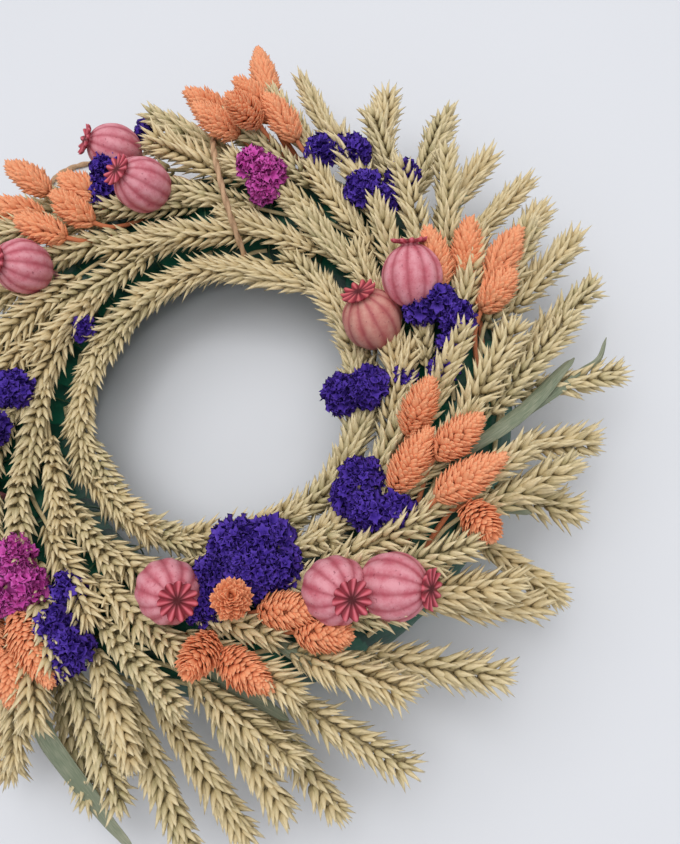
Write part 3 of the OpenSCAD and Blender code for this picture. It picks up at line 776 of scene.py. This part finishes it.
def twine_knot(p):
    """A trefoil: (sin t + 2 sin 2t, cos t - 2 cos 2t, -sin 3t), as an overhand knot closes."""
    low, high = map(np.array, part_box("hanger_knot"))
    t = np.linspace(0, 2 * np.pi, 121)
    line = np.stack([np.sin(t) + 2 * np.sin(2 * t), np.cos(t) - 2 * np.cos(2 * t), -np.sin(3 * t)], -1)
    line = (low + high) / 2 + line * (high - low).max() * 0.115
    return twine_run(p, line)


# ---- materials ----

def dim(colour, share):
    """A colour times a share."""
    return tuple(share * c for c in colour)


class Value:
    """A shader number or colour. Signs of arithmetic on numbers add Math nodes."""

    def __init__(self, paint, socket):
        self.paint, self.socket = paint, socket

    def math(self, operation, *others, swap=False):
        values = (*others, self) if swap else (self, *others)
        return self.paint.node("ShaderNodeMath", {"operation": operation}, dict(enumerate(values)))

    def __add__(self, other):
        return self.math("ADD", other)

    def __sub__(self, other):
        return self.math("SUBTRACT", other)

    def __rsub__(self, other):
        return self.math("SUBTRACT", other, swap=True)

    def __mul__(self, other):
        return self.math("MULTIPLY", other)

    def __pow__(self, other):
        return self.math("POWER", other)

    __radd__, __rmul__ = __add__, __mul__

    def clamp(self):
        return self.math("MAXIMUM", 0.0).math("MINIMUM", 1.0)


class Paint:
    """A material and the nodes in it."""

    def __init__(self, name):
        self.material = bpy.data.materials.new(name)
        self.material.use_nodes = True
        self.tree = self.material.node_tree
        self.tree.nodes.clear()

    def node(self, kind, settings=None, inputs=None, out=0):
        """Adds a node of any kind: its settings first, then its sockets. Gives one output."""
        made = self.tree.nodes.new(kind)
        for name, value in (settings or {}).items():
            setattr(made, name, value)
        for name, value in (inputs or {}).items():
            self.feed(made.inputs[name], value)
        return Value(self, made.outputs[out]) if len(made.outputs) else None

    def feed(self, socket, value):
        if isinstance(value, Value):
            self.tree.links.new(value.socket, socket)
        else:
            socket.default_value = value

    def mix(self, share, a, b):
        """Colour a where share is 0, and b where it is 1."""
        a, b = (c if isinstance(c, Value) else (*c, 1) for c in (a, b))
        return self.node("ShaderNodeMix", {"data_type": "RGBA"}, {0: share, 6: a, 7: b}, out=2)

    def noise(self, place, scale, detail=2, rough=0.5):
        return self.node("ShaderNodeTexNoise", None,
                         {"Vector": place, "Scale": scale, "Detail": detail, "Roughness": rough})

    def attribute(self, name):
        return self.node("ShaderNodeAttribute", {"attribute_name": name}, None, out="Vector")

    def parts(self, vector):
        """The three numbers in a vector."""
        first = self.node("ShaderNodeSeparateXYZ", None, {0: vector})
        outputs = first.socket.node.outputs
        return [Value(self, outputs[k]) for k in range(3)]

    def place(self):
        return self.node("ShaderNodeTexCoord", None, None, out="Object")

    def finish(self, base, rough, height=None, relief=0.3 * MM, **constants):
        """The surface: base colour, roughness, and a height that bumps it by relief."""
        inputs = {"Base Color": base, "Roughness": rough}
        if height is not None:
            inputs["Normal"] = self.node("ShaderNodeBump", None, {
                "Strength": 1.0, "Distance": relief, "Height": height})
        inputs.update({name.replace("_", " "): value for name, value in constants.items()})
        surface = self.node("ShaderNodeBsdfPrincipled", None, inputs)
        self.node("ShaderNodeOutputMaterial", None, {"Surface": surface})
        return self.material


def wheat_finish(p):
    """Husks from green to ripe by plant and part, darkened at their feet by painted shade, and pale at
    their points.
    """
    paint = Paint("dry_wheat")
    plant, own, along = paint.parts(paint.attribute("tone"))
    grain = paint.attribute("grain")
    streak = paint.noise(grain, 3.2, 3)
    patch = paint.noise(paint.place(), 40, 2)
    ripe = (0.7 * plant + 0.3 * own + 1.2 * patch - 0.58 + 0.3 * (streak - 0.5)).clamp()
    base = paint.mix(ripe, p.green, p.ripe)
    edge = (along * along * 0.8 + (streak - 0.47) * 1.3 + 0.3 * own).clamp()
    base = paint.mix(edge, base, p.pale)
    # Painted shade: each husk darkens towards its foot, deep between the spikelets.
    base = paint.mix(((1 - along * 3.0) * 0.75).clamp(), base, p.shadow)
    return paint.finish(base, 0.5 + 0.2 * streak, streak, 0.25 * MM, Specular_IOR_Level=0.35)


def canary_finish(p):
    """Dyed bracts, pale along their edges and veins, with painted shade at their feet, deep between
    the bracts.
    """
    paint = Paint("dyed_canary_grass")
    plant, own, along = paint.parts(paint.attribute("tone"))
    streak = paint.noise(paint.attribute("grain"), 2.6, 3)
    base = paint.mix((0.2 + 0.35 * own + 0.3 * plant + (streak - 0.5) * 0.9).clamp(), p.dye, p.pale)
    base = paint.mix((along * along * 0.7).clamp(), base, p.pale)
    # Painted shade: each bract darkens towards its foot, deep inside the head.
    base = paint.mix(((1 - along * 2.4) * 0.9).clamp(), base, p.deep)
    return paint.finish(base, 0.62 + 0.15 * streak, streak, 0.3 * MM, Specular_IOR_Level=0.3)


def lavender_finish(name, p, colour, pale):
    """Papery florets with painted shade darkening their insides and the sunken core, pale at the rim,
    and brown twigs where along is below 0.
    """
    paint = Paint(name)
    plant, own, along = paint.parts(paint.attribute("tone"))
    fleck = paint.noise(paint.attribute("grain"), 0.9, 3)
    share = (along * along * 0.45 + 0.35 * own + (fleck - 0.5) * 0.9 - 0.12 * plant).clamp()
    base = paint.mix(share, colour, pale)
    # Painted shade: the inside of each trumpet and the core beneath the florets darken to about a
    # third of their colour.
    base = paint.mix(((0.45 - along) * 1.1).clamp(), base, dim(colour, 0.35))
    base = paint.mix((along * -4.0 - 2.6).clamp(), base, p.twig)
    return paint.finish(base, 0.68 + 0.15 * fleck, fleck, 0.3 * MM, Specular_IOR_Level=0.25)


def poppy_finish(p, name, dye, bloom_colour):
    """Powdery bloom and painted light on the ribs, dye with painted shade in the grooves, dark specks,
    and a redder rayed crown with painted shade between its rays.
    """
    paint = Paint(name)
    rib, crown, hub = paint.parts(paint.attribute("tone"))
    place = paint.place()
    cloud = paint.noise(place, 190, 3, 0.6)
    fine = paint.noise(place, 1500, 2)
    specks = (paint.noise(place, 620, 1) - 0.66) * 9.0
    # The powdery patches are the skin's own bloom; the extra lightness on the rib crests is painted
    # light.
    bloom = (0.2 + 0.6 * rib + (cloud - 0.5) * 2.2 + (fine - 0.5) * 0.5).clamp()
    base = paint.mix(bloom, dye, bloom_colour)
    base = paint.mix(specks.clamp() * 0.6, base, (0.20, 0.03, 0.05))
    # Painted shade: thin dark lines along the grooves between the ribs.
    base = paint.mix(((1 - rib)**8.0 * 0.55).clamp(), base, (0.30, 0.04, 0.06))
    # Painted shade between the crown's rays, and painted light on their crests.
    ray = (rib * rib * 1.1 + (cloud - 0.5) * 0.8).clamp()
    ray = paint.mix(ray, dim(p.crown, 0.35), p.crown)
    ray = paint.mix((rib**4.0 * 0.4).clamp(), ray, bloom_colour)
    ray = paint.mix((hub * 1.5).clamp(), ray, (0.09, 0.008, 0.012))
    base = paint.mix(crown, base, ray)
    return paint.finish(base, 0.55 + 0.2 * cloud, cloud * 0.6 + fine * 0.15, 0.3 * MM,
                        Specular_IOR_Level=0.35)


def stem_finish(p):
    """Long streaks of dye and bloom."""
    paint = Paint("dyed_poppy_stem")
    streak = paint.noise(paint.attribute("grain"), 2.0, 3)
    return paint.finish(paint.mix(streak, p.dye, p.bloom), 0.6 + 0.1 * streak, streak, 0.2 * MM)


def leaf_finish(p):
    """Long pale veins over green, bleached in patches."""
    paint = Paint("dry_leaf")
    _, across, along = paint.parts(paint.attribute("tone"))
    vein = paint.noise(paint.attribute("grain"), 2.4, 4, 0.65)
    patch = paint.noise(paint.place(), 60, 2)
    share = ((vein - 0.42) * 2.6 + (patch - 0.5) * 1.2 + 0.25 * along).clamp()
    return paint.finish(paint.mix(share, p.green, p.grey), 0.55 + 0.2 * patch, vein, 0.25 * MM)


def film_finish(p):
    """Glossy green film, darker where it lies double, with a bright worn edge at each lap."""
    paint = Paint("green_film")
    lap, wave, _ = paint.parts(paint.attribute("tone"))
    crinkle = paint.noise(paint.place(), 160, 3, 0.6)
    share = (1.2 * lap + (crinkle - 0.5) * 0.8 - 0.15 + 0.3 * wave).clamp()
    return paint.finish(paint.mix(share, p.film_dark, p.film), 0.28 + 0.22 * crinkle,
                        crinkle, 0.5 * MM, Specular_IOR_Level=0.32, Coat_Weight=0.05,
                        Coat_Roughness=0.12)


def straw_finish(p):
    """Straw in light and dark flecks."""
    paint = Paint("bundled_straw")
    streak = paint.noise(paint.place(), 420, 3)
    base = paint.mix(streak, dim(p.straw, 0.45), p.straw)
    return paint.finish(base, 0.6 + 0.2 * streak, streak, 0.6 * MM)


def wire_finish(p):
    """Dark lacquer with bare metal in worn spots."""
    paint = Paint("lacquered_wire")
    worn = paint.noise(paint.place(), 700, 2)
    base = paint.mix(((worn - 0.6) * 5.0).clamp(), p.wire, (0.30, 0.29, 0.26))
    return paint.finish(base, 0.3 + 0.25 * worn, None, Metallic=0.6)


def raffia_finish(p):
    """Fibres that run with the twine, with painted shade dark between the strands."""
    paint = Paint("raffia_twine")
    hump, _, _ = paint.parts(paint.attribute("tone"))
    fibre = paint.noise(paint.attribute("grain"), 3.4, 4, 0.6)
    # Fibre noise is the twine's own tone; the hump term is painted shade in the grooves between the
    # strands.
    share = ((fibre - 0.35) * 1.6 + 0.5 * hump).clamp()
    return paint.finish(paint.mix(share, p.raffia_dark_fibre_and_groove_shade, p.raffia), 0.66 + 0.2 * fibre, fibre, 0.4 * MM)


def floor_finish(p):
    """A plain, faintly clouded table."""
    paint = Paint("table")
    cloud = paint.noise(paint.place(), 6, 2)
    return paint.finish(paint.mix(cloud, p.floor, dim(p.floor, 0.97)), 0.6 + 0.05 * cloud)


# ---- operators ----

def plants(*starts, seed):
    """The CAD nodes whose names start so, each with an empty shape and random draws of its own."""
    nodes = [n for start in starts for n in sorted(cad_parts) if n.startswith(start)]
    for k, node in enumerate(nodes):
        yield node, Shape(), np.random.default_rng(seed + k)


class WREATH_OT_camera(bpy.types.Operator):
    """Places the camera above the table"""
    bl_idname = "wreath.camera"
    bl_label = "Camera"

    def execute(self, context):
        p = context.scene.wreath_stage
        camera = bpy.data.objects.new("camera", bpy.data.cameras.new("camera"))
        context.scene.collection.objects.link(camera)
        camera.data.lens = p.lens
        right = Vector(p.right).normalized()
        back = right.cross(Vector(p.upward)).normalized()
        turn = Matrix((right, back.cross(right), back)).transposed()
        camera.matrix_world = Matrix.Translation(p.eye) @ turn.to_4x4()
        context.scene.camera = camera
        return {"FINISHED"}


class WREATH_OT_twine(bpy.types.Operator):
    """Makes the hanging loop, its knot and the turn round the ring"""
    bl_idname = "wreath.twine"
    bl_label = "Twine"

    def execute(self, context):
        p = context.scene.wreath_twine
        finish = raffia_finish(p)
        line = smooth(LOOP, 241)
        loop = twine_run(p, line).piece("hanging_twine_loop", finish, "raffia", "hanging_loop")
        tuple(line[0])
        twine_knot(p).piece("twine_knot", finish, "raffia", "hanger_knot")
        twine_band(p).piece("twine_band", finish, "raffia", "hanger_band")
        return {"FINISHED"}


class WREATH_OT_ring(bpy.types.Operator):
    """Wraps the straw ring in film and finishes the straw and the wire"""
    bl_idname = "wreath.ring"
    bl_label = "Wrapped ring"

    def execute(self, context):
        p = context.scene.wreath_ring
        shape = film(p, np.random.default_rng(3))
        shape.piece("green_film", film_finish(p), "green_film", "film_wrap")
        for node, finish in (("straw_ring", straw_finish(p)), ("binding_wires", wire_finish(p))):
            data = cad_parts[node].data
            data.materials.clear()
            data.materials.append(finish)
        return {"FINISHED"}


class WREATH_OT_wheat(bpy.types.Operator):
    """Grows the wheat ears, bunch by bunch"""
    bl_idname = "wreath.wheat"
    bl_label = "Wheat"

    def execute(self, context):
        p = context.scene.wreath_wheat
        finish = wheat_finish(p)
        for node, shape, rng in plants("wheat_bunch", seed=100):
            for line in swept_lines(node)[0]:
                wheat_ear(shape, line, p, rng)
            shape.piece(node.replace("bunch", "ears"), finish, "wheat", node)
        return {"FINISHED"}


class WREATH_OT_canary(bpy.types.Operator):
    """Grows the heads of canary grass, cluster by cluster"""
    bl_idname = "wreath.canary"
    bl_label = "Canary grass"

    def execute(self, context):
        p = context.scene.wreath_canary
        finish = canary_finish(p)
        for node, shape, rng in plants("canary_grass", seed=200):
            for line, radius in zip(*swept_lines(node)):
                canary_head(shape, line, radius, p, rng)
            shape.piece(node + "_heads", finish, "canary_grass", node)
        return {"FINISHED"}


class WREATH_OT_lavender(bpy.types.Operator):
    """Covers the sprays of sea lavender with florets"""
    bl_idname = "wreath.lavender"
    bl_label = "Sea lavender"

    def execute(self, context):
        p = context.scene.wreath_lavender
        violet = lavender_finish("violet_florets", p, p.violet, p.violet_pale)
        pink = lavender_finish("magenta_florets", p, p.pink, p.pink_pale)
        for node, shape, rng in plants("lavender", "pink_lavender", seed=300):
            is_pink = node.startswith("pink")
            slot = "pink_sea_lavender" if is_pink else "violet_sea_lavender"
            lavender_spray(shape, node, p, rng)
            shape.piece(node + "_florets", pink if is_pink else violet, slot, node)
        return {"FINISHED"}


class WREATH_OT_poppies(bpy.types.Operator):
    """Turns the poppy capsules and draws their stems"""
    bl_idname = "wreath.poppies"
    bl_label = "Poppies"

    def execute(self, context):
        p = context.scene.wreath_poppy
        pink = poppy_finish(p, "dyed_poppy_capsule", p.dye, p.bloom)
        faded = poppy_finish(p, "faded_poppy_capsule", p.dusky, p.dusky_bloom)
        for node, shape, rng in plants("poppy_", seed=400):
            if node == "poppy_stems":
                for line, radius in zip(*swept_lines(node)):
                    tube(shape, smooth(line, 30), radius[1:-1].mean(), sides=12,
                         tone=(0.5, 0.5, 0.5), bulge=lambda turn, ring: 1 + 0.06 * np.cos(6 * turn))
                shape.piece("poppy_stalks", stem_finish(p), "poppy_stem", node)
            else:
                poppy(shape, node, p, rng)
                finish = faded if node == "poppy_5" else pink
                shape.piece(node.replace("poppy", "poppy_capsule"), finish, "poppy", node)
        return {"FINISHED"}


class WREATH_OT_leaves(bpy.types.Operator):
    """Draws the dried leaf blades"""
    bl_idname = "wreath.leaves"
    bl_label = "Leaves"

    def execute(self, context):
        p = context.scene.wreath_leaf
        finish = leaf_finish(p)
        for node, shape, rng in plants("lea", seed=500):
            for centre, half in blade_lines(node):
                leaf(shape, centre, half, p, rng)
            shape.piece(node.replace("lea", "dry_lea"), finish, "dried_leaf", node)
        return {"FINISHED"}


class WREATH_OT_stage(bpy.types.Operator):
    """Lays the table and lights it softly from the upper left"""
    bl_idname = "wreath.stage"
    bl_label = "Stage"

    def execute(self, context):
        p = context.scene.wreath_stage
        half = p.floor_size / 2
        mesh = bpy.data.meshes.new("table")
        mesh.from_pydata([(-half, -half, 0), (half, -half, 0), (half, half, 0), (-half, half, 0)],
                         [], [(0, 1, 2, 3)])
        mesh.materials.append(floor_finish(p))
        table = bpy.data.objects.new("table", mesh)
        context.scene.collection.objects.link(table)
        for name, spot, width, power in (("window", (-0.5, 0.6, 1.8), 1.8, 10),
                                         ("ceiling", (0.35, -0.1, 2.0), 1.6, 20)):
            light = bpy.data.objects.new(name, bpy.data.lights.new(name, "AREA"))
            light.data.size = width
            light.data.energy = power
            light.location = spot
            light.rotation_euler = (-Vector(spot)).to_track_quat("-Z", "Y").to_euler()
            context.scene.collection.objects.link(light)
        world = bpy.data.worlds.new("room")
        world.use_nodes = True
        sky = world.node_tree.nodes["Background"]
        sky.inputs["Color"].default_value = (0.95, 0.97, 1.0, 1)
        sky.inputs["Strength"].default_value = 0.56
        context.scene.world = world
        context.scene.view_settings.view_transform = "Standard"
        return {"FINISHED"}


class WREATH_PT_panel(bpy.types.Panel):
    """Lists the wreath's pieces"""
    bl_idname = "WREATH_PT_panel"
    bl_label = "Dried-flower wreath"
    bl_space_type = "VIEW_3D"
    bl_region_type = "UI"
    bl_category = "Wreath"

    def draw(self, context):
        for operator, settings, _ in STEPS:
            box = self.layout.box()
            box.operator(operator.bl_idname)
            group = getattr(context.scene, settings)
            for name in group.bl_rna.properties.keys():
                if name not in ("rna_type", "name"):
                    box.prop(group, name)


STEPS = (
    (WREATH_OT_camera, "wreath_stage", StageSettings),
    (WREATH_OT_twine, "wreath_twine", TwineSettings),
    (WREATH_OT_ring, "wreath_ring", RingSettings),
    (WREATH_OT_wheat, "wreath_wheat", WheatSettings),
    (WREATH_OT_canary, "wreath_canary", CanarySettings),
    (WREATH_OT_lavender, "wreath_lavender", LavenderSettings),
    (WREATH_OT_poppies, "wreath_poppy", PoppySettings),
    (WREATH_OT_leaves, "wreath_leaf", LeafSettings),
    (WREATH_OT_stage, "wreath_stage", StageSettings),
)
SETTINGS = {name: group for _, name, group in STEPS}


def register():
    for name, group in SETTINGS.items():
        bpy.utils.register_class(group)
        setattr(bpy.types.Scene, name, PointerProperty(type=group))
    for operator, _, _ in STEPS:
        bpy.utils.register_class(operator)
    bpy.utils.register_class(WREATH_PT_panel)


def unregister():
    bpy.utils.unregister_class(WREATH_PT_panel)
    for operator, _, _ in reversed(STEPS):
        bpy.utils.unregister_class(operator)
    for name, group in SETTINGS.items():
        delattr(bpy.types.Scene, name)
        bpy.utils.unregister_class(group)


def main():
    register()
    for operator, _, _ in STEPS:
        kind, name = operator.bl_idname.split(".")
        getattr(getattr(bpy.ops, kind), name)()


if __name__ == "__main__":
    main()
